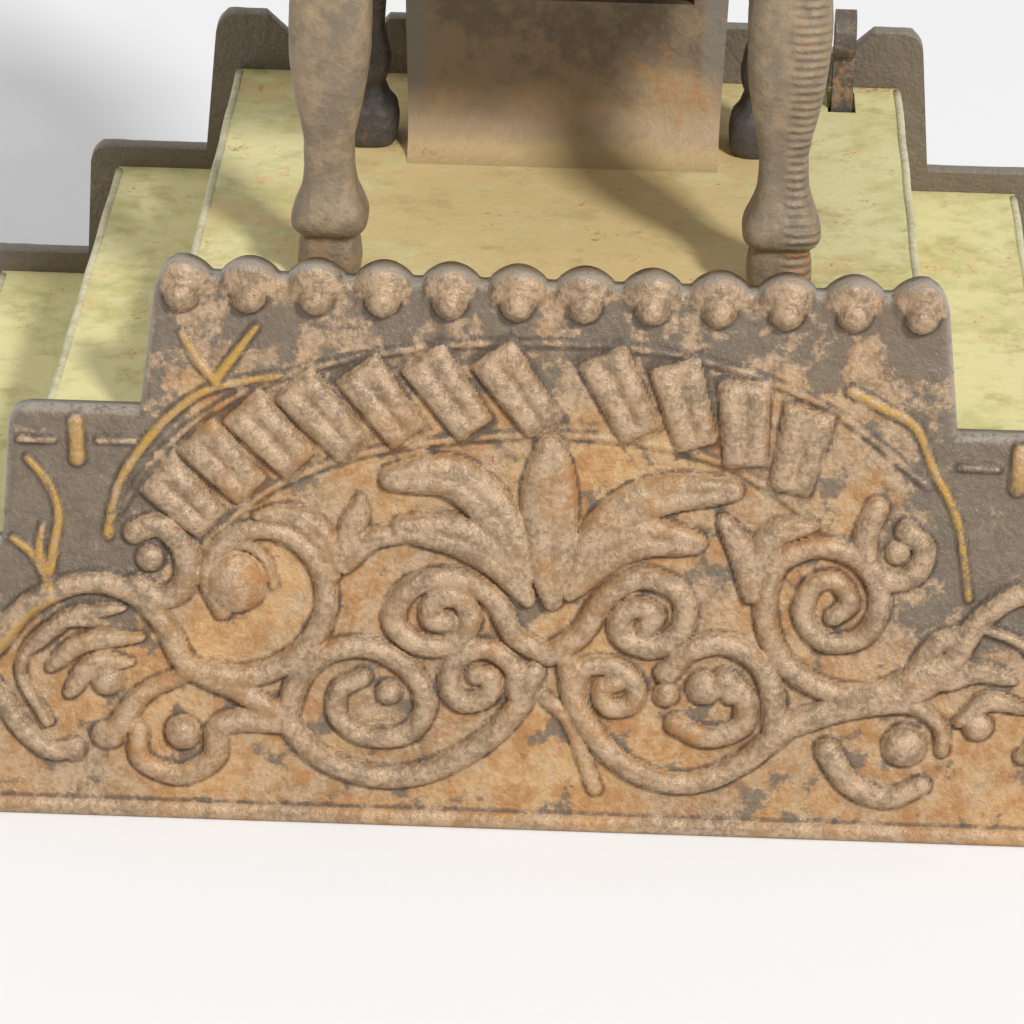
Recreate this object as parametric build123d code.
"""A cast-iron mechanical coin bank: a conjurer behind a table on a three-tiered stage.

Pressing the lever at the right rear turns a rock shaft under the deck. The shaft pulls two rods:
one lowers the conjurer's arms and hat over the coin and nods the head, the other tips the table flap,
so that the coin slides down the cabinet's chute into the base. Units are millimetres, +Z is up,
-Y is the front, and the origin is the centre of the base at the surface it stands on.
"""
from build123d import *
from math import asin, cos, degrees, radians, sin, tan
import os

# ---- driving sizes of the base ----
BASE_HALF_DEPTH = 57.5      # outer face of the front and back panels at the floor
LEAN = 8.0                  # degrees that both panels lean inwards
PANEL_T = 3.5
SEAT_GAP = 0.05             # castings that seat face to face
DECK_Z = 68.5               # walking surface of the top tier
DECK_HALF_W = 48.0
TREAD2_Z = 51.8
TREAD2_HALF_W = 66.0
TREAD3_Z = 33.5
TREAD3_HALF_W = 84.0
DECK_T = 2.5                # thickness of treads and risers
PANEL_RISE = 4.2            # panel edge above the second and third treads
PANEL_OVERHANG = 4.0        # panel edge beyond the riser beside it
PANEL_DRAFT = 1.0           # each panel tier is this much wider at its foot
CREST_RISE = 4.7            # plain top of the front panel above the deck
BACK_CREST_RISE = 6.5
BACK_EAR_RISE = 10.0
PANEL_CORNER_R = 2.4

# ---- knobs along the top of the front panel ----
KNOB_COUNT = 12
KNOB_R = 2.8
KNOB_TOP_RISE = 6.4         # top of a knob above the deck
KNOB_LENGTH = 6.6

# ---- base plate, coin door and lock ----
PLATE_T = 2.5
PLATE_GAP = 0.3
POST_R = 4.0
POST_X, POST_Y = 76.0, 43.0
SCREW_R = 1.6
SCREW_HEAD_R = 3.2
SCREW_LENGTH = 12.0
THREAD_GAP = 0.05
DOOR_HALF_X = 20.0
DOOR_Y0, DOOR_Y1 = -26.0, 8.0
DOOR_GAP = 0.35
KNUCKLE_R = 1.2
HINGE_PIN_R = 0.65
RUN_GAP = 0.05              # radial running clearance of pins and shafts
LOCK_Y = 2.0
LOCK_R = 4.0
CAM_LENGTH = 10.0
CAM_T = 2.0
CAM_LIFT = 0.6

# ---- tie rods between the panels ----
TIE_X, TIE_Z = 62.0, 17.0
TIE_R = 2.0
TIE_HEAD_R = 4.0
TIE_HEAD_T = 2.2
TIE_BOSS_R = 5.6
TIE_BOSS_DEPTH = 8.0

# ---- rock shaft and lever ----
SHAFT_Y, SHAFT_Z = 2.2, 57.0
SHAFT_R = 2.0
SHAFT_HALF_X = 42.0
BEARING_X = 32.0
BEARING_T = 4.0
HUB_R = 4.0
LEVER_SWING = 12.0          # degrees that the lever is pressed
LEVER_X = 39.5
LEVER_T = 3.0
STEM_Y = 36.5               # the thumb stem, where it passes the deck
STEM_W = 4.0
SLOT_REAR = 3.8             # room behind the stem, which moves back as it goes down
THUMB_Z = 80.0
CURL_R = 3.4
CURL_HOLE_R = 1.7
SPRING_ARM = 14.0
SPRING_R = 2.6
WIRE_R = 0.45
SPRING_TURNS = 12
SPRING_FOOT_Z = 12.0

# ---- pull rod, shoulder axle and arms ----
PULL_ROD_Y = 33.77
PULL_ROD_R = 1.1
AXLE_Y, AXLE_Z = 41.6, 168.0
AXLE_R = 1.5
AXLE_HALF_X = 21.5
ARM_SWING = 46.0            # degrees that the arms come down
ARM_CRANK_R = 8.49
LINK_PIN_R = 1.2
ARM_PIN_R = 0.9
ARM_PIN_DRIFT = 0.7         # the crank's pin swings this far forward at half travel
LINK_GAP = 0.35             # a rod's eye around its link pin
EYE_WALL = 1.5
LIFT_ARM_X = 15.0
LIFT_ARM_T = 2.0

# ---- trap rod and table flap ----
TRAP_ROD_X, TRAP_ROD_Y = 17.5, 18.0
TRAP_ROD_R = 0.8
TRAP_PIN_R = 0.7
TRAP_CRANK_R = 15.89
FLAP_AXIS_Y, FLAP_AXIS_Z = 5.6, 121.6
FLAP_CRANK_R = 12.5
FLAP_HALF_X = 11.0
FLAP_Y0, FLAP_Y1 = 4.6, 24.6
FLAP_T = 1.6
FLAP_GAP = 0.5
POCKET_X0, POCKET_X1 = 15.9, 21.1     # room for the flap's crank
FLAP_REAR_GAP = 1.2

# ---- table and cabinet ----
TABLE_TOP_Z = 127.0
TABLE_T = 3.5
TABLE_HALF_X = 37.0
TABLE_Y0, TABLE_Y1 = -40.5, 29.7
TABLE_LIP = 1.2
FRONT_LEG_X, FRONT_LEG_Y = 29.4, -33.5
REAR_LEG_X, REAR_LEG_Y = 28.2, 18.0
LEG_STUD_R = 1.4
LEG_STUD_DEPTH = 7.0
CAB_Y0, CAB_Y1 = 15.0, 30.0
CAB_T = 1.8
CAB_FOOT_HALF_X, CAB_TOP_HALF_X = 21.6, 23.4
COVE_R = 7.0
WINDOW_HALF_X = 17.6
WINDOW_Z = 90.5
CHUTE_HALF_X = 13.6
CHUTE_Y0, CHUTE_Y1 = 19.9, 28.0
CHUTE_T = 0.6
CHUTE_FOOT_Z = 62.0
CHUTE_MOUTH_Y0 = 14.0
CHUTE_MOUTH_Z = 119.5
CHUTE_NECK_Z = 108.0

# ---- the conjurer ----
TORSO_Y = 39.8
SPLIT_Y = 39.8              # front and back halves meet here
LEG_FIG_X = 6.9
LEG_FIG_Y = 37.6
HEAD_PIVOT_Y, HEAD_PIVOT_Z = 40.0, 184.0
HEAD_PIN_R = 1.0
HEAD_TOP_Z = 203.2
CAVITY_HALF_X = 5.6
CAVITY_Y0, CAVITY_Y1 = 30.7, 48.3
CAVITY_Z0, CAVITY_Z1 = 155.0, 178.0
ROD_CHANNEL_R = 1.75
HEEL_R = 4.0                # reach of the nodding heel under the axle
HEEL_PIN_R = 0.8
SHOULDER_X = 19.6
SLEEVE_R = 4.3
HAND_R = 3.0
HAT_Y = 14.0                # centre of the hat when it covers the coin
HAT_CLEAR = 0.6             # brim above the table when it is down
BRIM_R = 14.8
BRIM_T = 1.3
CROWN_R = 10.2
CROWN_HEIGHT = 19.0
HAT_WALL = 1.1
HAND_LIFT = 3.8             # the hands' centre above the brim's lower face


# ---- shapes used throughout ----
def block(x0, x1, y0, y1, z0, z1):
    """A box from its lowest and highest corners."""
    return Pos((x0 + x1) / 2, (y0 + y1) / 2, (z0 + z1) / 2) * Box(x1 - x0, y1 - y0, z1 - z0)


def rod_x(x0, x1, y, z, r):
    """A round bar along X."""
    return Pos((x0 + x1) / 2, y, z) * Rot(0, 90, 0) * Cylinder(r, x1 - x0)


def rod_y(x, y0, y1, z, r):
    """A round bar along Y."""
    return Pos(x, (y0 + y1) / 2, z) * Rot(90, 0, 0) * Cylinder(r, y1 - y0)


def rod_z(x, y, z0, z1, r):
    """A round bar along Z."""
    return Pos(x, y, (z0 + z1) / 2) * Cylinder(r, z1 - z0)


def slab_yz(points, x0, x1):
    """A flat plate whose outline is given as (y, z) points."""
    face = Plane.YZ * make_face(Polyline(*points, close=True))
    return Pos(x0, 0, 0) * extrude(face, amount=x1 - x0)


def slab_xz(points, y0, y1):
    """A flat plate whose outline is given as (x, z) points."""
    face = Plane.XZ * make_face(Polyline(*points, close=True))
    return Pos(0, y1, 0) * extrude(face, amount=y1 - y0)


def tube_between(p, q, r):
    """A round bar with ball ends from p to q."""
    p, q = Vector(*p), Vector(*q)
    length = (q - p).length
    bar = Plane(origin=p, z_dir=q - p) * Pos(0, 0, length / 2) * Cylinder(r, length)
    return bar + Pos(p) * Sphere(r) + Pos(q) * Sphere(r)


def eye(x0, x1, y, z, pin_r, gap=LINK_GAP, wall=EYE_WALL):
    """(ring body, hole) of a rod's eye around a pin along X."""
    return rod_x(x0, x1, y, z, pin_r + gap + wall), rod_x(x0 - 1, x1 + 1, y, z, pin_r + gap)


def mirror_x(shape):
    """The same shape on the other side of the middle."""
    return mirror(shape, about=Plane.YZ)


# ---- where the moving links stand at rest ----
HALF_SWING = radians(LEVER_SWING / 2)
ARM_TRAVEL = 2 * ARM_CRANK_R * sin(radians(ARM_SWING / 2))
LIFT_ARM_R = ARM_TRAVEL / (2 * sin(HALF_SWING))
TRAP_TRAVEL = 2 * TRAP_CRANK_R * sin(HALF_SWING)
FLAP_SWING = 2 * degrees(asin(TRAP_TRAVEL / 2 / FLAP_CRANK_R))


def on_lift_arm(radius):
    """(y, z) of a point of the lift arm at rest, half a swing above level."""
    return SHAFT_Y + radius * cos(HALF_SWING), SHAFT_Z + radius * sin(HALF_SWING)


PULL_LOW_Y, PULL_LOW_Z = on_lift_arm(LIFT_ARM_R)
TRAP_LOW_Y, TRAP_LOW_Z = on_lift_arm(TRAP_CRANK_R)
ARM_PIN_Y = AXLE_Y - ARM_CRANK_R * cos(radians(ARM_SWING / 2))
ARM_PIN_Z = AXLE_Z + ARM_CRANK_R * sin(radians(ARM_SWING / 2))
FLAP_PIN_Y = FLAP_AXIS_Y + FLAP_CRANK_R * cos(radians(FLAP_SWING / 2))
FLAP_PIN_Z = FLAP_AXIS_Z + FLAP_CRANK_R * sin(radians(FLAP_SWING / 2))


def raised(y, z):
    """(y, z) with the arms up, of a point that is given with the hat on the table."""
    a = radians(-ARM_SWING)
    dy, dz = y - AXLE_Y, z - AXLE_Z
    return AXLE_Y + dy * cos(a) - dz * sin(a), AXLE_Z + dy * sin(a) + dz * cos(a)


# ---- base ----
def inner_half_depth(z):
    """Half the room between the leaning panels at height z."""
    return BASE_HALF_DEPTH - PANEL_T / cos(radians(LEAN)) - z * tan(radians(LEAN)) - SEAT_GAP


def tier_outline(crest):
    """Half of a panel's stepped outline as (x, z) points, from the floor up to the crest's points."""
    w3, w2, w1 = (w + PANEL_OVERHANG for w in (TREAD3_HALF_W, TREAD2_HALF_W, DECK_HALF_W))
    z3, z2 = TREAD3_Z + PANEL_RISE, TREAD2_Z + PANEL_RISE
    return [(w3 + PANEL_DRAFT, -2), (w3, z3), (w2 + PANEL_DRAFT, z3), (w2, z2), (w1 + PANEL_DRAFT, z2),
            *crest]


def leaning_panel(crest):
    """A stepped panel that leans back from its foot, trimmed flat at the floor, facing the front."""
    half = tier_outline(crest)
    outline = half + [(-x, z) for x, z in reversed(half)]
    flat = slab_xz(outline, 0, PANEL_T)
    corners = flat.edges().filter_by(Axis.Y).group_by(Axis.Z)
    flat = fillet([e for g in corners[2:] for e in g if abs(e.center().X) > DECK_HALF_W], 1.6)
    leaned = Pos(0, -BASE_HALF_DEPTH, 0) * Rot(-LEAN, 0, 0) * flat
    return leaned & block(-120, 120, -90, 90, 0, 120)


def lean_point(x, z):
    """A point of the front panel's outer face at height z."""
    return x, -BASE_HALF_DEPTH + z * tan(radians(LEAN)), z


def make_front_panel():
    """Front panel with its row of knobs, tie-rod bosses and arched band."""
    w1 = DECK_HALF_W + PANEL_OVERHANG
    panel = leaning_panel([(w1 - PANEL_DRAFT, DECK_Z + CREST_RISE)])
    span = w1 - PANEL_DRAFT - KNOB_R
    for i in range(KNOB_COUNT):
        x = -span + 2 * span * i / (KNOB_COUNT - 1)
        top = lean_point(x, DECK_Z + KNOB_TOP_RISE - KNOB_R)
        low = lean_point(x, DECK_Z + KNOB_TOP_RISE - KNOB_LENGTH + KNOB_R)
        inset = Vector(0, PANEL_T * 0.5, 0)
        panel += tube_between(Vector(*low) + inset, Vector(*top) + inset, KNOB_R)
    band = (Cylinder(62, 1.2) - Cylinder(51, 3)) & Pos(0, 60, 0) * Box(86, 60, 10)
    band = Pos(0, -BASE_HALF_DEPTH, 0) * Rot(90 - LEAN, 0, 0) * Pos(0, 4, 0.3) * band
    panel += band
    boss = [rod_y(s * TIE_X, -BASE_HALF_DEPTH, -inner_half_depth(TIE_Z) + TIE_BOSS_DEPTH, TIE_Z,
                  TIE_BOSS_R) for s in (-1, 1)]
    keep = slab_yz([(-BASE_HALF_DEPTH + 1, 0), (-BASE_HALF_DEPTH + 1 + 60 * tan(radians(LEAN)), 60),
                    (0, 60), (0, 0)], -90, 90)
    for b in boss:
        panel += b & keep
    for s in (-1, 1):
        panel -= rod_y(s * TIE_X, -BASE_HALF_DEPTH + 5.5, 0, TIE_Z, TIE_R + THREAD_GAP)
    return panel


def make_back_panel():
    """Back panel: the front panel's outline with raised corners and tie-rod seats."""
    w1 = DECK_HALF_W + PANEL_OVERHANG - PANEL_DRAFT
    top, ear = DECK_Z + BACK_CREST_RISE, DECK_Z + BACK_EAR_RISE
    crest = [(w1, ear), (w1 - 7, ear), (w1 - 10.5, top), (29, top), (26, ear), (0, ear)]
    panel = leaning_panel(crest[:-1])
    panel = Rot(0, 0, 180) * panel
    depth = inner_half_depth(TIE_Z)
    keep = slab_yz([(0, 0), (BASE_HALF_DEPTH - 1, 0), (BASE_HALF_DEPTH - 1 - 60 * tan(radians(LEAN)), 60),
                    (0, 60)], -90, 90)
    for s in (-1, 1):
        panel += rod_y(s * TIE_X, depth - 5, BASE_HALF_DEPTH, TIE_Z, TIE_BOSS_R) & keep
        panel -= rod_y(s * TIE_X, 0, BASE_HALF_DEPTH, TIE_Z, TIE_R + 0.2)
        panel -= rod_y(s * TIE_X, depth, BASE_HALF_DEPTH, TIE_Z, TIE_HEAD_R + 0.3)
    return panel


def make_deck():
    """Top tier, treads and risers in one casting, with bearing lugs, screw posts and all its holes."""
    t = DECK_T
    half = [(TREAD3_HALF_W, 0), (TREAD3_HALF_W, TREAD3_Z), (TREAD2_HALF_W, TREAD3_Z),
            (TREAD2_HALF_W, TREAD2_Z),
            (DECK_HALF_W, TREAD2_Z), (DECK_HALF_W, DECK_Z)]
    inner = [(TREAD3_HALF_W - t, 0), (TREAD3_HALF_W - t, TREAD3_Z - t), (TREAD2_HALF_W - t, TREAD3_Z - t),
             (TREAD2_HALF_W - t, TREAD2_Z - t), (DECK_HALF_W - t, TREAD2_Z - t), (DECK_HALF_W - t, DECK_Z
                                                                                  - t)]
    outline = half + [(-x, z) for x, z in reversed(half)] + [(-x, z) for x, z in inner] + inner[::-1]
    deck = slab_xz(outline, -BASE_HALF_DEPTH, BASE_HALF_DEPTH)
    far, near = inner_half_depth(DECK_Z), inner_half_depth(0)
    deck &= slab_yz([(-near, 0), (near, 0), (far, DECK_Z), (-far, DECK_Z)], -100, 100)
    for s in (-1, 1):
        lug = block(s * BEARING_X - BEARING_T / 2, s * BEARING_X + BEARING_T / 2,
                    SHAFT_Y - HUB_R - 1, SHAFT_Y + HUB_R + 1, SHAFT_Z, DECK_Z - t / 2)
        lug += rod_x(s * BEARING_X - BEARING_T / 2, s * BEARING_X + BEARING_T / 2, SHAFT_Y, SHAFT_Z, HUB_R
                     + 1)
        deck += lug
        deck -= rod_x(s * BEARING_X - BEARING_T, s * BEARING_X + BEARING_T, SHAFT_Y, SHAFT_Z, SHAFT_R
                      + RUN_GAP)
        for y in (-POST_Y, POST_Y):
            deck += rod_z(s * POST_X, y, PLATE_T + SEAT_GAP, TREAD3_Z - t / 2, POST_R)
            deck -= rod_z(s * POST_X, y, 0, SCREW_LENGTH + 2, SCREW_R + THREAD_GAP)
    slot_x = LEVER_T / 2 + 0.5
    deck -= block(LEVER_X - slot_x, LEVER_X + slot_x, STEM_Y - STEM_W / 2 - 0.8,
                  STEM_Y + STEM_W / 2 + SLOT_REAR, 60, 70)
    deck -= block(-CHUTE_HALF_X - 0.2, CHUTE_HALF_X + 0.2, CHUTE_Y0 - 0.2, CHUTE_Y1 + 0.2, 60, 70)
    deck -= rod_z(0, PULL_ROD_Y, 60, 70, ROD_CHANNEL_R)
    deck -= rod_z(TRAP_ROD_X, TRAP_ROD_Y, 60, 70, TRAP_ROD_R + 0.6)
    for x, y in leg_places():
        deck -= rod_z(x, y, 60, 70, LEG_STUD_R + 0.1)
    for s in (-1, 1):
        deck -= rod_z(s * LEG_FIG_X, LEG_FIG_Y, 60, 70, SCREW_R + 0.2)
    return deck


def make_base_plate():
    """Bottom plate with the coin door's opening, its hinge knuckles and the spring's anchor eye."""
    x = TREAD3_HALF_W - DECK_T - PLATE_GAP
    far, near = inner_half_depth(PLATE_T) - PLATE_GAP, inner_half_depth(0) - PLATE_GAP
    plate = slab_yz([(-near, 0), (near, 0), (far, PLATE_T), (-far, PLATE_T)], -x, x)
    plate -= block(-DOOR_HALF_X - DOOR_GAP, DOOR_HALF_X + DOOR_GAP, DOOR_Y0 - KNUCKLE_R - DOOR_GAP,
                   DOOR_Y1 + DOOR_GAP, -1, 5)
    for k0, k1 in ((-20.35, -14.2), (-4, 4), (14.2, 20.35)):
        plate += rod_x(k0, k1, DOOR_Y0, PLATE_T / 2, KNUCKLE_R)
        plate += block(k0, k1, DOOR_Y0 - KNUCKLE_R - 1, DOOR_Y0, PLATE_T / 2 - KNUCKLE_R, PLATE_T / 2
                       + KNUCKLE_R)
    plate -= rod_x(-DOOR_HALF_X - 1, DOOR_HALF_X + 1, DOOR_Y0, PLATE_T / 2, HINGE_PIN_R + RUN_GAP)
    for sx in (-1, 1):
        for y in (-POST_Y, POST_Y):
            plate -= rod_z(sx * POST_X, y, -1, 5, SCREW_R + 0.2)
            plate -= rod_z(sx * POST_X, y, -1, 1.5, SCREW_HEAD_R + 0.2)
    anchor_y = SHAFT_Y - SPRING_ARM
    plate += rod_z(LEVER_X, anchor_y, PLATE_T / 2, SPRING_FOOT_Z, SPRING_R - WIRE_R - 0.3)
    return plate


def make_base_plate_screws():
    """Four slotted screws that hold the base plate to the deck's posts."""
    screws = []
    for sx in (-1, 1):
        for y in (-POST_Y, POST_Y):
            x = sx * POST_X
            head = rod_z(x, y, 0.1, 1.45, SCREW_HEAD_R) - block(x - 4, x + 4, y - 0.4, y + 0.4, 0, 0.8)
            screws.append(head + rod_z(x, y, 0.9, SCREW_LENGTH, SCREW_R))
    return Compound(children=screws)


def make_tie_rods():
    """Two long screws that draw the back panel to the front one."""
    rods = []
    seat = inner_half_depth(TIE_Z)
    for s in (-1, 1):
        x = s * TIE_X
        head = rod_y(x, seat + 0.02, seat + TIE_HEAD_T, TIE_Z, TIE_HEAD_R)
        head -= block(x - 5, x + 5, seat + TIE_HEAD_T - 0.9, seat + 5, TIE_Z - 0.5, TIE_Z + 0.5)
        rods.append(head + rod_y(x, -BASE_HALF_DEPTH + 6, seat + 1, TIE_Z, TIE_R))
    return Compound(children=rods)


def make_coin_door():
    """The door under the base, with its own hinge knuckles and the lock's hole."""
    z0, z1 = 0.15, PLATE_T - 0.15
    door = block(-DOOR_HALF_X, DOOR_HALF_X, DOOR_Y0 + KNUCKLE_R + 0.2, DOOR_Y1, z0, z1)
    for k0, k1 in ((-13.9, -4.3), (4.3, 13.9)):
        door += rod_x(k0, k1, DOOR_Y0, PLATE_T / 2, KNUCKLE_R - 0.05)
        door += block(k0, k1, DOOR_Y0, DOOR_Y0 + KNUCKLE_R + 1, PLATE_T / 2 - 1.0, PLATE_T / 2 + 1.0)
    door -= rod_x(-DOOR_HALF_X, DOOR_HALF_X, DOOR_Y0, PLATE_T / 2, HINGE_PIN_R + RUN_GAP)
    return door - rod_z(0, LOCK_Y, -1, 5, LOCK_R + RUN_GAP)


def make_lock_barrel():
    """The lock's turning barrel, with a square key hole from below and a collar above the door."""
    barrel = rod_z(0, LOCK_Y, 0.15, PLATE_T + CAM_LIFT, LOCK_R) + rod_z(0, LOCK_Y, PLATE_T + 0.05, PLATE_T
                                                                        + CAM_LIFT, LOCK_R + 1)
    barrel += rod_z(0, LOCK_Y, PLATE_T, PLATE_T + CAM_LIFT + CAM_T + 0.8, 1.8)
    return barrel - block(-1.3, 1.3, LOCK_Y - 1.3, LOCK_Y + 1.3, -1, 2.2)


def make_lock_cam():
    """The tongue that turns over the base plate's edge to lock the door."""
    z0 = PLATE_T + CAM_LIFT + 0.02
    cam = rod_z(0, LOCK_Y, z0, z0 + CAM_T, 3.4) + block(0, CAM_LENGTH, LOCK_Y - 2.4, LOCK_Y + 2.4, z0, z0
                                                        + CAM_T)
    return cam - rod_z(0, LOCK_Y, 0, 20, 1.8 + 0.02)


# ---- lever and its spring ----
def make_lever():
    """The thumb lever: hub, arm under the deck, stem with a curled thumb piece, and the spring's tail."""
    x0, x1 = LEVER_X - LEVER_T / 2, LEVER_X + LEVER_T / 2
    s0, s1 = STEM_Y - STEM_W / 2, STEM_Y + STEM_W / 2
    arm = slab_yz([(SHAFT_Y, SHAFT_Z + 3), (s0, SHAFT_Z + 6), (s0, THUMB_Z - 2), (s1, THUMB_Z - 2),
                   (s1, SHAFT_Z), (SHAFT_Y, SHAFT_Z - 3)], x0, x1)
    tail_y = SHAFT_Y - SPRING_ARM
    arm += slab_yz([(SHAFT_Y, SHAFT_Z + 2.5), (SHAFT_Y, SHAFT_Z - 2.5), (tail_y - 2, SHAFT_Z - 1.5),
                    (tail_y - 2, SHAFT_Z + 1.5)], x0, x1)
    curl_y = STEM_Y - CURL_R + STEM_W / 2
    arm += rod_x(x0, x1, curl_y, THUMB_Z, CURL_R) + rod_x(x0, x1, SHAFT_Y, SHAFT_Z, HUB_R)
    arm -= rod_x(x0 - 1, x1 + 1, curl_y, THUMB_Z, CURL_HOLE_R)
    arm += rod_z(LEVER_X, tail_y, SHAFT_Z - 4, SHAFT_Z, 1.2)
    return arm - rod_x(x0 - 1, x1 + 1, SHAFT_Y, SHAFT_Z, SHAFT_R)


def make_return_spring():
    """Extension spring from the base plate's anchor to the lever's tail."""
    tail_y = SHAFT_Y - SPRING_ARM
    low, high = SPRING_FOOT_Z - 6, SHAFT_Z - 3.2
    path = Helix(pitch=(high - low) / SPRING_TURNS, height=high - low, radius=SPRING_R)
    section = Plane(origin=path @ 0, z_dir=path % 0) * Circle(WIRE_R)
    return Pos(LEVER_X, tail_y, low) * sweep(section, path=path, is_frenet=True)


def make_rock_shaft():
    """The shaft under the deck that the lever turns."""
    return rod_x(-SHAFT_HALF_X, SHAFT_HALF_X, SHAFT_Y, SHAFT_Z, SHAFT_R)


def make_lift_arm():
    """The arm on the rock shaft that pulls both rods, with its two link pins."""
    x0, x1 = LIFT_ARM_X - LIFT_ARM_T / 2, LIFT_ARM_X + LIFT_ARM_T / 2
    arm = slab_yz([(SHAFT_Y, SHAFT_Z + 3), (PULL_LOW_Y, PULL_LOW_Z + 2), (PULL_LOW_Y, PULL_LOW_Z - 2),
                   (SHAFT_Y, SHAFT_Z - 3)], x0, x1)
    arm += rod_x(x0, x1, PULL_LOW_Y, PULL_LOW_Z, 2) + rod_x(x0 - 1.5, x1 + 1.5, SHAFT_Y, SHAFT_Z, HUB_R)
    arm += rod_x(-2.2, x1, PULL_LOW_Y, PULL_LOW_Z, LINK_PIN_R)
    arm += rod_x(x1 - 0.5, TRAP_ROD_X + 1.5, TRAP_LOW_Y, TRAP_LOW_Z, TRAP_PIN_R)
    return arm - rod_x(x0 - 3, x1 + 3, SHAFT_Y, SHAFT_Z, SHAFT_R)


def make_pull_rod():
    """The rod from the lift arm up between the conjurer's legs to the shoulder crank."""
    low, low_hole = eye(-1.3, 1.3, PULL_ROD_Y, PULL_LOW_Z, LINK_PIN_R)
    rod = rod_z(0, PULL_ROD_Y, PULL_LOW_Z + 1, ARM_PIN_Z - 1, PULL_ROD_R) + low
    hole_r = ARM_PIN_R + 0.25
    front = PULL_ROD_Y - ARM_PIN_DRIFT
    holes = low_hole
    for r, grow, is_hole in ((hole_r + 0.95, 0, False), (hole_r, 1, True)):
        slot = rod_x(-1.3 - grow, 1.3 + grow, PULL_ROD_Y, ARM_PIN_Z, r)
        slot += rod_x(-1.3 - grow, 1.3 + grow, front, ARM_PIN_Z, r)
        slot += block(-1.3 - grow, 1.3 + grow, front, PULL_ROD_Y, ARM_PIN_Z - r, ARM_PIN_Z + r)
        if is_hole:
            holes += slot
        else:
            rod += slot
    return rod - holes


def make_trap_rod():
    """The thinner rod from the lift arm up inside the cabinet to the flap's crank."""
    x0, x1 = TRAP_ROD_X - 1.0, TRAP_ROD_X + 1.0
    low, low_hole = eye(x0, x1, TRAP_ROD_Y, TRAP_LOW_Z, TRAP_PIN_R, gap=0.4, wall=1.0)
    top, top_hole = eye(x0, x1, TRAP_ROD_Y, FLAP_PIN_Z, TRAP_PIN_R, gap=0.4, wall=1.0)
    return rod_z(TRAP_ROD_X, TRAP_ROD_Y, TRAP_LOW_Z + 1, FLAP_PIN_Z - 1,
                 TRAP_ROD_R) + low + top - low_hole - top_hole


# ---- table ----
def leg_places():
    """(x, y) of the four table legs."""
    return [(s * x, y) for x, y in ((FRONT_LEG_X, FRONT_LEG_Y), (REAR_LEG_X, REAR_LEG_Y)) for s in (-1, 1)]


FRONT_LEG = [(0, 3.6), (2.0, 4.1), (4.6, 4.05), (6.3, 3.7), (7.2, 4.5), (8.6, 5.05), (10.2, 4.75), (12.4, 3.75),
             (15.2, 3.2), (19.1, 3.25), (23.5, 4.05), (27.7, 4.8), (34.6, 5.3), (41.0, 5.1), (46.5, 4.0),
             (49.5, 3.6), (52.0, 4.5)]
REAR_LEG = [(0, 4.9), (3.0, 5.2), (6.4, 4.4), (8.4, 3.0), (11.5, 3.9), (14.0, 3.5), (17.0, 2.8),
            (22.0, 3.1),
            (29.0, 3.9), (36.0, 4.2), (42.0, 3.9), (46.5, 3.2), (49.5, 3.0), (52.0, 4.0)]


def leg_silhouette(profile, share):
    """A leg's outline in the XZ plane, with its half widths times share."""
    height = TABLE_TOP_Z - TABLE_T - DECK_Z
    stretch = height / 55.0
    right = [(w * share, z * stretch) for z, w in profile] + [(4.7 * share, height)]
    left = [(-x, z) for x, z in right]
    edges = [Spline(*right), Line(right[-1], left[-1]), Spline(*left), Line(left[0], right[0])]
    return make_face(Curve() + edges)


def make_leg(x, y, profile):
    """A baluster leg with an eight-sided section, drilled at both ends for its studs."""
    height = TABLE_TOP_Z - TABLE_T - DECK_Z
    square = Plane.XZ * extrude(leg_silhouette(profile, 1.0), amount=8, both=True)
    cornered = Plane.XZ * extrude(leg_silhouette(profile, 1.19), amount=10, both=True)
    leg = square & (Rot(0, 0, 90) * square) & (Rot(0, 0, 45) * cornered) & (Rot(0, 0, -45) * cornered)
    leg -= rod_z(0, 0, -1, LEG_STUD_DEPTH, LEG_STUD_R + THREAD_GAP)
    leg -= rod_z(0, 0, height - LEG_STUD_DEPTH, height + 1, LEG_STUD_R + THREAD_GAP)
    return Pos(x, y, DECK_Z) * leg


def make_leg_studs(top):
    """Four studs that hold the legs: peened in the table top, or headed under the deck."""
    studs = []
    for x, y in leg_places():
        if top:
            stud = rod_z(x, y, TABLE_TOP_Z - TABLE_T - LEG_STUD_DEPTH + 0.5, TABLE_TOP_Z, LEG_STUD_R)
            stud += Pos(x, y, TABLE_TOP_Z) * Sphere(LEG_STUD_R) & rod_z(x, y, TABLE_TOP_Z - 1, TABLE_TOP_Z
                                                                        + 0.6, 3)
        else:
            stud = rod_z(x, y, DECK_Z - DECK_T - 1.6, DECK_Z + LEG_STUD_DEPTH - 0.5, LEG_STUD_R)
            stud += rod_z(x, y, DECK_Z - DECK_T - 1.6, DECK_Z - DECK_T - 0.02, 2.8)
        studs.append(stud)
    return Compound(children=studs)


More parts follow.
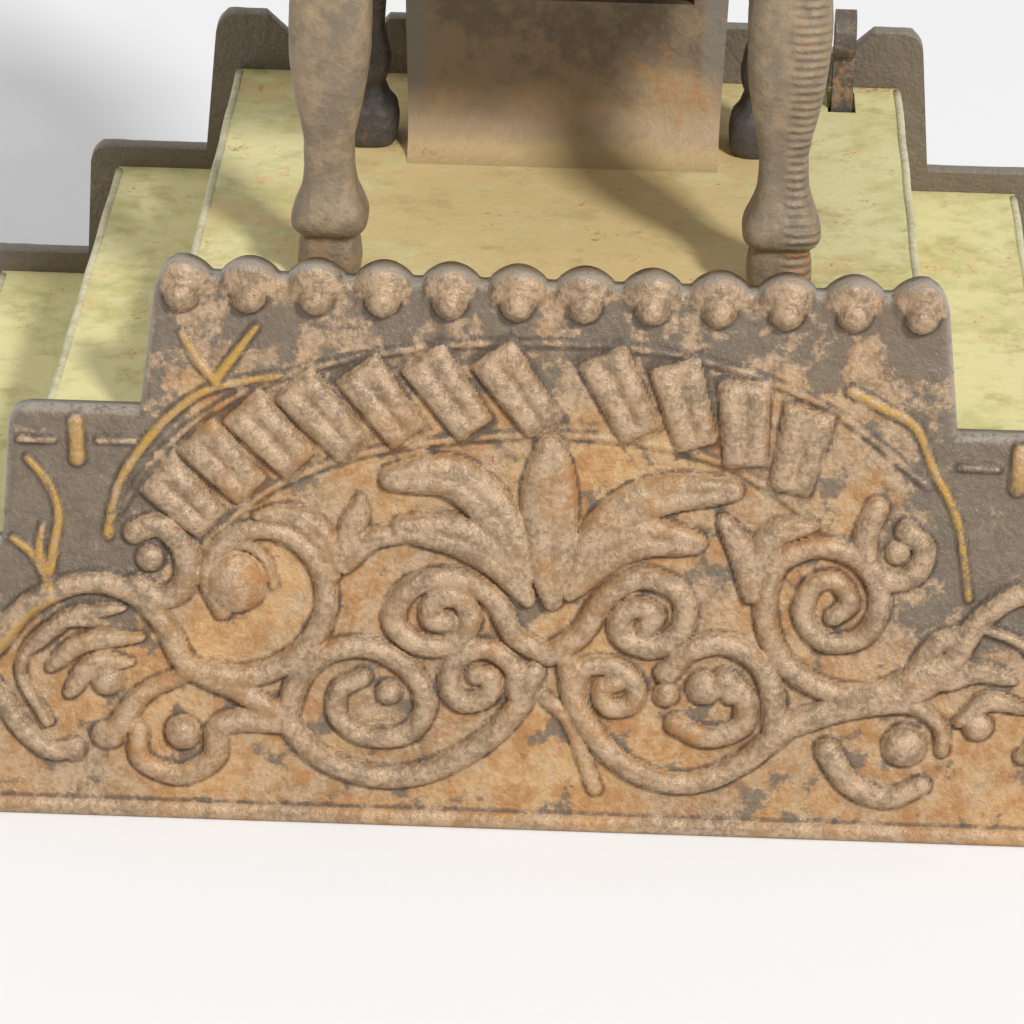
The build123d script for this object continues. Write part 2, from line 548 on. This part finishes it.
def make_table_top():
    """Table top with the flap's opening, pivot lugs and a pocket for the flap's crank."""
    under = TABLE_TOP_Z - TABLE_T
    top = block(-TABLE_HALF_X, TABLE_HALF_X, TABLE_Y0, TABLE_Y1, under, TABLE_TOP_Z)
    top = fillet(top.edges().filter_by(Axis.Z), 3.0)
    top = chamfer(top.faces().sort_by(Axis.Z)[0].edges(), TABLE_LIP)
    top -= block(-FLAP_HALF_X - FLAP_GAP, FLAP_HALF_X + FLAP_GAP, FLAP_Y0 - FLAP_GAP, FLAP_Y1
                 + FLAP_REAR_GAP,
                 under - 1, TABLE_TOP_Z + 1)
    for s in (-1, 1):
        lug_x = s * (FLAP_HALF_X + FLAP_GAP + 1.4)
        top += block(lug_x - 0.9, lug_x + 0.9, FLAP_AXIS_Y - 2.2, FLAP_AXIS_Y + 2.2, FLAP_AXIS_Z - 2, under
                     + 0.5)
        top -= rod_x(lug_x - 2, lug_x + 2, FLAP_AXIS_Y, FLAP_AXIS_Z, 0.8 + RUN_GAP)
    top -= block(POCKET_X0, POCKET_X1, FLAP_AXIS_Y - 3, FLAP_PIN_Y + 3, under - 1, TABLE_TOP_Z - 1.2)
    for x, y in leg_places():
        top -= rod_z(x, y, under - 1, TABLE_TOP_Z + 1, LEG_STUD_R + 0.1)
    return top


def make_flap():
    """The tipping flap in the table top, with its pivot pin and crank."""
    flap = block(-FLAP_HALF_X, FLAP_HALF_X, FLAP_Y0, FLAP_Y1, TABLE_TOP_Z - FLAP_T, TABLE_TOP_Z)
    for s in (-1, 1):
        flap += block(s * 9 - 0.9, s * 9 + 0.9, FLAP_Y0 + 0.1, FLAP_AXIS_Y + 1.8, FLAP_AXIS_Z - 1.5,
                      TABLE_TOP_Z - FLAP_T + 0.3)
    return flap - rod_x(-20, 20, FLAP_AXIS_Y, FLAP_AXIS_Z, 0.8)


def make_flap_crank():
    """The flap's pivot pin, with the crank on its end that the trap rod pulls."""
    x0, x1 = TRAP_ROD_X + 1.6, TRAP_ROD_X + 3.0
    pin = rod_x(-FLAP_HALF_X - FLAP_GAP - 2.6, x1, FLAP_AXIS_Y, FLAP_AXIS_Z, 0.8)
    pin += slab_yz([(FLAP_AXIS_Y, FLAP_AXIS_Z - 1.3), (FLAP_PIN_Y, FLAP_PIN_Z - 1.1),
                    (FLAP_PIN_Y, FLAP_PIN_Z + 1.1),
                    (FLAP_AXIS_Y, FLAP_AXIS_Z + 1.3)], x0, x1)
    pin += rod_x(x0, x1, FLAP_PIN_Y, FLAP_PIN_Z, 1.1) + rod_x(x0, x1, FLAP_AXIS_Y, FLAP_AXIS_Z, 1.3)
    return pin + rod_x(TRAP_ROD_X - 1.2, x1, FLAP_PIN_Y, FLAP_PIN_Z, TRAP_PIN_R)


def cabinet_form(half_foot, half_top, y0, y1, z0, z1, cove):
    """The cabinet's tapered body, with a cove of the given radius at its front foot."""
    front = slab_xz([(-half_foot, z0), (half_foot, z0), (half_top, z1), (-half_top, z1)], y0 - 20, y1)
    if cove:
        path = [(y0 - cove, z0), (y1, z0), (y1, z1), (y0, z1), (y0, z0 + cove)]
        arc = RadiusArc(path[-1], path[0], cove)
        if arc.bounding_box().max.Y > z0 + cove + 0.01 or arc.center().X < y0 - cove / 2:
            arc = RadiusArc(path[-1], path[0], -cove)
        side = make_face(Curve() + [Polyline(*path), arc])
        side = Pos(-40, 0, 0) * extrude(Plane.YZ * side, amount=80)
    else:
        side = block(-40, 40, y0, y1, z0, z1)
    return front & side


def make_cabinet():
    """The tapered cabinet under the table: four walls around the coin chute, open in front near the top."""
    z0, z1 = DECK_Z, TABLE_TOP_Z - TABLE_T
    shell = cabinet_form(CAB_FOOT_HALF_X, CAB_TOP_HALF_X, CAB_Y0, CAB_Y1, z0, z1, COVE_R)
    hollow = cabinet_form(CAB_FOOT_HALF_X - CAB_T, CAB_TOP_HALF_X - CAB_T, CAB_Y0 + CAB_T, CAB_Y1 - CAB_T,
                          z0 - 1, z1 + 1, 0)
    shell -= hollow
    shell -= block(POCKET_X0, POCKET_X1, CAB_Y0 - 2, CAB_Y0 + CAB_T + 1, 117, z1 + 1)
    shell -= block(-FLAP_HALF_X - 1, FLAP_HALF_X + 1, CAB_Y0 - 2, CAB_Y0 + CAB_T + 1, z1 - 5, z1 + 1)
    return shell - block(-WINDOW_HALF_X, WINDOW_HALF_X, CAB_Y0 - 2, CAB_Y0 + CAB_T + 1, WINDOW_Z, z1 - 4)


def make_chute():
    """Sheet-metal duct from under the flap down through the deck, open at both ends."""
    x, t = CHUTE_HALF_X, CHUTE_T
    outer = [(CHUTE_Y0, CHUTE_FOOT_Z), (CHUTE_Y1, CHUTE_FOOT_Z), (CHUTE_Y1, CHUTE_MOUTH_Z),
             (CHUTE_MOUTH_Y0, CHUTE_MOUTH_Z), (CHUTE_Y0, CHUTE_NECK_Z)]
    inner = [(CHUTE_Y0 + t, CHUTE_FOOT_Z - 1), (CHUTE_Y1 - t, CHUTE_FOOT_Z - 1),
             (CHUTE_Y1 - t, CHUTE_MOUTH_Z + 1),
             (CHUTE_MOUTH_Y0 + t - 0.5, CHUTE_MOUTH_Z + 1), (CHUTE_Y0 + t, CHUTE_NECK_Z)]
    return slab_yz(outer, -x, x) - slab_yz(inner, -x + t, x - t)


# ---- conjurer ----
def oval(x, y, z, a, b):
    """An elliptical section at height z."""
    return Pos(x, y, z) * Ellipse(a, b)


def make_body():
    """The conjurer's trunk, legs, shoes and coat tails as one solid form."""
    waist = loft([oval(0, TORSO_Y, z, a, b) for z, a, b in
                  ((126, 12.8, 8.2), (137, 13.0, 8.9), (148, 12.4, 9.5), (160, 14.0, 11.0))])
    chest = loft([oval(0, TORSO_Y, z, a, b) for z, a, b in
                  ((160, 14.0, 11.0), (168, 14.6, 11.3), (174.5, 13.2, 11.0), (179, 9.0, 7.8),
                   (182, 6.4, 6.0))])
    body = waist + chest + rod_z(0, HEAD_PIVOT_Y, 180, 185.6, 5.8)
    for s in (-1, 1):
        body += loft([oval(s * LEG_FIG_X, LEG_FIG_Y, z, a, b) for z, a, b in
                      ((70, 4.6, 4.6), (84, 4.8, 4.9), (112, 5.6, 6.2), (130, 6.2, 7.0))])
        shoe = block(s * LEG_FIG_X - 4.8, s * LEG_FIG_X + 4.8, CAB_Y1 + 0.9, 42.4, DECK_Z, DECK_Z + 4.6)
        body += fillet(shoe.edges().filter_by(Axis.Z), 2.4)
    tails = loft([oval(0, 43.5, z, a, b) for z, a, b in ((104, 8.5, 3.4), (124, 11.6, 4.9),
                                                         (146, 11.8, 5.2))])
    return body + tails


def bored_body():
    """The body with its hollow, rod channel, axle bores, neck and mounting holes."""
    body = make_body()
    body -= block(-CAVITY_HALF_X, CAVITY_HALF_X, CAVITY_Y0, CAVITY_Y1, CAVITY_Z0, CAVITY_Z1)
    body -= rod_z(0, PULL_ROD_Y, DECK_Z - 1, CAVITY_Z0 + 1, ROD_CHANNEL_R)
    body -= rod_x(-30, 30, AXLE_Y, AXLE_Z, AXLE_R + RUN_GAP)
    body -= rod_z(0, HEAD_PIVOT_Y, CAVITY_Z1 - 1, 190, 4.5)
    body -= rod_x(-30, 30, HEAD_PIVOT_Y, HEAD_PIVOT_Z, HEAD_PIN_R)
    for s in (-1, 1):
        body -= rod_z(s * LEG_FIG_X, LEG_FIG_Y, DECK_Z - 1, DECK_Z + 10.5, SCREW_R + THREAD_GAP)
    for z in RIVET_HEIGHTS:
        for s in (-1, 1):
            body -= rod_y(s * RIVET_X, 20, 60, z, RIVET_R + THREAD_GAP)
            body -= rod_y(s * RIVET_X, 46.2, 60, z, 2.0)
            body -= rod_y(s * RIVET_X, 20, 33.0, z, 2.0)
    return body


RIVET_HEIGHTS = (139.0, 164.0)
RIVET_X = 8.2
RIVET_R = 1.1


def make_figure_halves():
    """(front, back) castings of the conjurer, split on a plane through the arms."""
    body = bored_body()
    front = body & block(-40, 40, 0, SPLIT_Y - SEAT_GAP / 2, 60, 200)
    back = body & block(-40, 40, SPLIT_Y + SEAT_GAP / 2, 80, 60, 200)
    return front, back


def make_figure_rivets():
    """Four rivets through the figure's two halves."""
    return Compound(children=[
        rod_y(s * RIVET_X, 32.6, 46.6, z, RIVET_R) + rod_y(s * RIVET_X, 46.25, 47.3, z, 1.9)
        + rod_y(s * RIVET_X, 32.0, 32.95, z, 1.9)
        for z in RIVET_HEIGHTS for s in (-1, 1)])


def make_figure_screws():
    """Two screws from under the deck into the conjurer's legs."""
    under = DECK_Z - DECK_T
    screws = []
    for x in (-LEG_FIG_X, LEG_FIG_X):
        head = rod_z(x, LEG_FIG_Y, under - 1.5, under - 0.02, 3.0)
        screws.append(head + rod_z(x, LEG_FIG_Y, under - 1, DECK_Z + 9, SCREW_R))
    return Compound(children=screws)


def make_head():
    """Head and neck, with a tail behind the axle that the heel pushes."""
    radius = 7.9
    mid = HEAD_TOP_Z - 9.4
    outline = Spline((0, HEAD_TOP_Z), (radius * 0.72, mid + 6.6), (radius, mid + 1.0),
                     (radius * 0.86, mid - 4.4),
                     (4.0, mid - 7.6), tangents=[(1, 0), (0, -1)])
    profile = make_face(Curve() + [outline, Polyline((4.0, mid - 7.6), (3.5, 182.6), (0, 182.6),
                                                     (0, HEAD_TOP_Z))])
    head = Pos(0, HEAD_PIVOT_Y, 0) * revolve(Plane.XZ * profile, axis=Axis.Z)
    tip_y = AXLE_Y - HEEL_R * sin(radians(ARM_SWING / 2)) + HEEL_PIN_R + 0.15
    foot_z = AXLE_Z - HEEL_R - 1.2
    back_y = AXLE_Y + 3.1
    tail = block(-3.2, -1.4, HEAD_PIVOT_Y - 1.5, HEAD_PIVOT_Y + 1.5, AXLE_Z + 7, HEAD_PIVOT_Z - 0.5)
    tail += block(-5.2, -1.4, HEAD_PIVOT_Y - 1.5, back_y, AXLE_Z + 6, AXLE_Z + 8)
    tail += block(-5.2, -3.8, back_y - 1.2, back_y, foot_z, AXLE_Z + 7)
    tail += block(-5.2, -3.8, tip_y, back_y, foot_z, AXLE_Z - 2.1)
    return head + tail - rod_x(-9, 9, HEAD_PIVOT_Y, HEAD_PIVOT_Z, HEAD_PIN_R + RUN_GAP)


def make_head_pin():
    """The pin through the collar that the head nods on."""
    return rod_x(-5.6, 5.6, HEAD_PIVOT_Y, HEAD_PIVOT_Z, HEAD_PIN_R)


def make_axle():
    """The shoulder axle."""
    return rod_x(-AXLE_HALF_X, AXLE_HALF_X, AXLE_Y, AXLE_Z, AXLE_R)


def make_arm_crank():
    """The crank on the shoulder axle: hub, forward arm with the link pin, and the heel for the head."""
    crank = rod_x(-3.4, 3.4, AXLE_Y, AXLE_Z, 2.8)
    crank += tube_between((2.3, AXLE_Y, AXLE_Z), (2.3, ARM_PIN_Y, ARM_PIN_Z), 1.0)
    crank += rod_x(-1.6, 3.0, ARM_PIN_Y, ARM_PIN_Z, ARM_PIN_R)
    a = radians(ARM_SWING / 2)
    heel_y, heel_z = AXLE_Y - HEEL_R * sin(a), AXLE_Z - HEEL_R * cos(a)
    crank += tube_between((-2.3, AXLE_Y, AXLE_Z), (-2.3, heel_y, heel_z), 0.9)
    crank += rod_x(-5.1, -2.3, heel_y, heel_z, HEEL_PIN_R)
    return crank - rod_x(-9, 9, AXLE_Y, AXLE_Z, AXLE_R)


def make_hat():
    """The top hat with its brim, upright on the table, then swung up with the arms."""
    h, r = CROWN_HEIGHT, CROWN_R
    outline = [(0, h), (r * 0.98, h), (r * 0.93, h * 0.5), (r * 0.96, BRIM_T), (BRIM_R, BRIM_T),
               (BRIM_R, 0),
               (r * 0.96 - HAT_WALL, 0), (r * 0.93 - HAT_WALL, h * 0.5), (r * 0.98 - HAT_WALL, h
                                                                          - HAT_WALL),
               (0, h - HAT_WALL)]
    hat = revolve(Plane.XZ * make_face(Polyline(*outline, close=True)), axis=Axis.Z)
    y, z = raised(HAT_Y, TABLE_TOP_Z + HAT_CLEAR)
    return Pos(0, y, z) * Rot(-ARM_SWING, 0, 0) * hat


def make_right_arm(hat):
    """One arm: sleeve, cuff and hand, bored for the axle and cut to grip the brim. It is on +X."""
    hand = raised(HAT_Y, TABLE_TOP_Z + HAT_CLEAR + HAND_LIFT)
    wrist = raised(HAT_Y + 5.5, TABLE_TOP_Z + HAT_CLEAR + HAND_LIFT + 3.6)
    elbow = (AXLE_Y - 22, AXLE_Z - 13)
    arm = tube_between((SHOULDER_X, AXLE_Y, AXLE_Z), (SHOULDER_X + 1.2, *elbow), SLEEVE_R)
    arm += tube_between((SHOULDER_X + 1.2, *elbow), (BRIM_R + 3.2, *wrist), SLEEVE_R * 0.84)
    arm += tube_between((BRIM_R + 2.9, *wrist), (BRIM_R + 1.6, *hand), HAND_R)
    arm &= block(SHOULDER_X - SLEEVE_R, 40, -60, 80, 100, 200) + block(0, 40, -60, 20, 100, 200)
    arm -= rod_x(10, AXLE_HALF_X, AXLE_Y, AXLE_Z, AXLE_R)
    return arm - hat


def save(shape, name):
    """Writes one node."""
    export_step(shape, f"parts/{name}.step")


def main():
    """Builds and writes every node."""
    os.makedirs("parts", exist_ok=True)
    figure_front, figure_back = make_figure_halves()
    hat = make_hat()
    right_arm = make_right_arm(hat)
    hinge_pin = rod_x(-DOOR_HALF_X, DOOR_HALF_X, DOOR_Y0, PLATE_T / 2, HINGE_PIN_R)
    nodes = {
        "front_panel": make_front_panel(), "back_panel": make_back_panel(), "stepped_deck": make_deck(),
        "base_plate": make_base_plate(), "base_plate_screws": make_base_plate_screws(),
        "tie_rods": make_tie_rods(), "coin_door": make_coin_door(), "coin_door_pin": hinge_pin,
        "lock_barrel": make_lock_barrel(), "lock_cam": make_lock_cam(), "lever": make_lever(),
        "return_spring": make_return_spring(), "rock_shaft": make_rock_shaft(), "lift_arm": make_lift_arm(),
        "pull_rod": make_pull_rod(), "trap_rod": make_trap_rod(), "table_top": make_table_top(),
        "table_flap": make_flap(), "flap_crank": make_flap_crank(), "cabinet": make_cabinet(),
        "coin_chute": make_chute(), "leg_top_studs": make_leg_studs(True),
        "leg_foot_studs": make_leg_studs(False), "figure_front": figure_front, "figure_back": figure_back,
        "figure_rivets": make_figure_rivets(), "figure_screws": make_figure_screws(), "head": make_head(),
        "head_pin": make_head_pin(), "shoulder_axle": make_axle(), "arm_crank": make_arm_crank(), "hat": hat,
        "right_arm": right_arm, "left_arm": mirror_x(right_arm),
    }
    for name, (x, y) in zip(("front_leg_left", "front_leg_right", "rear_leg_left", "rear_leg_right"),
                            leg_places()):
        nodes[name] = make_leg(x, y, FRONT_LEG if "front" in name else REAR_LEG)
    for name, shape in nodes.items():
        save(shape, name)
    print("arm travel", round(ARM_TRAVEL, 3), "lift arm", round(LIFT_ARM_R, 2), "trap travel",
          round(TRAP_TRAVEL, 3),
          "flap swing", round(FLAP_SWING, 2), "hat at", raised(HAT_Y, TABLE_TOP_Z + HAT_CLEAR))


main()
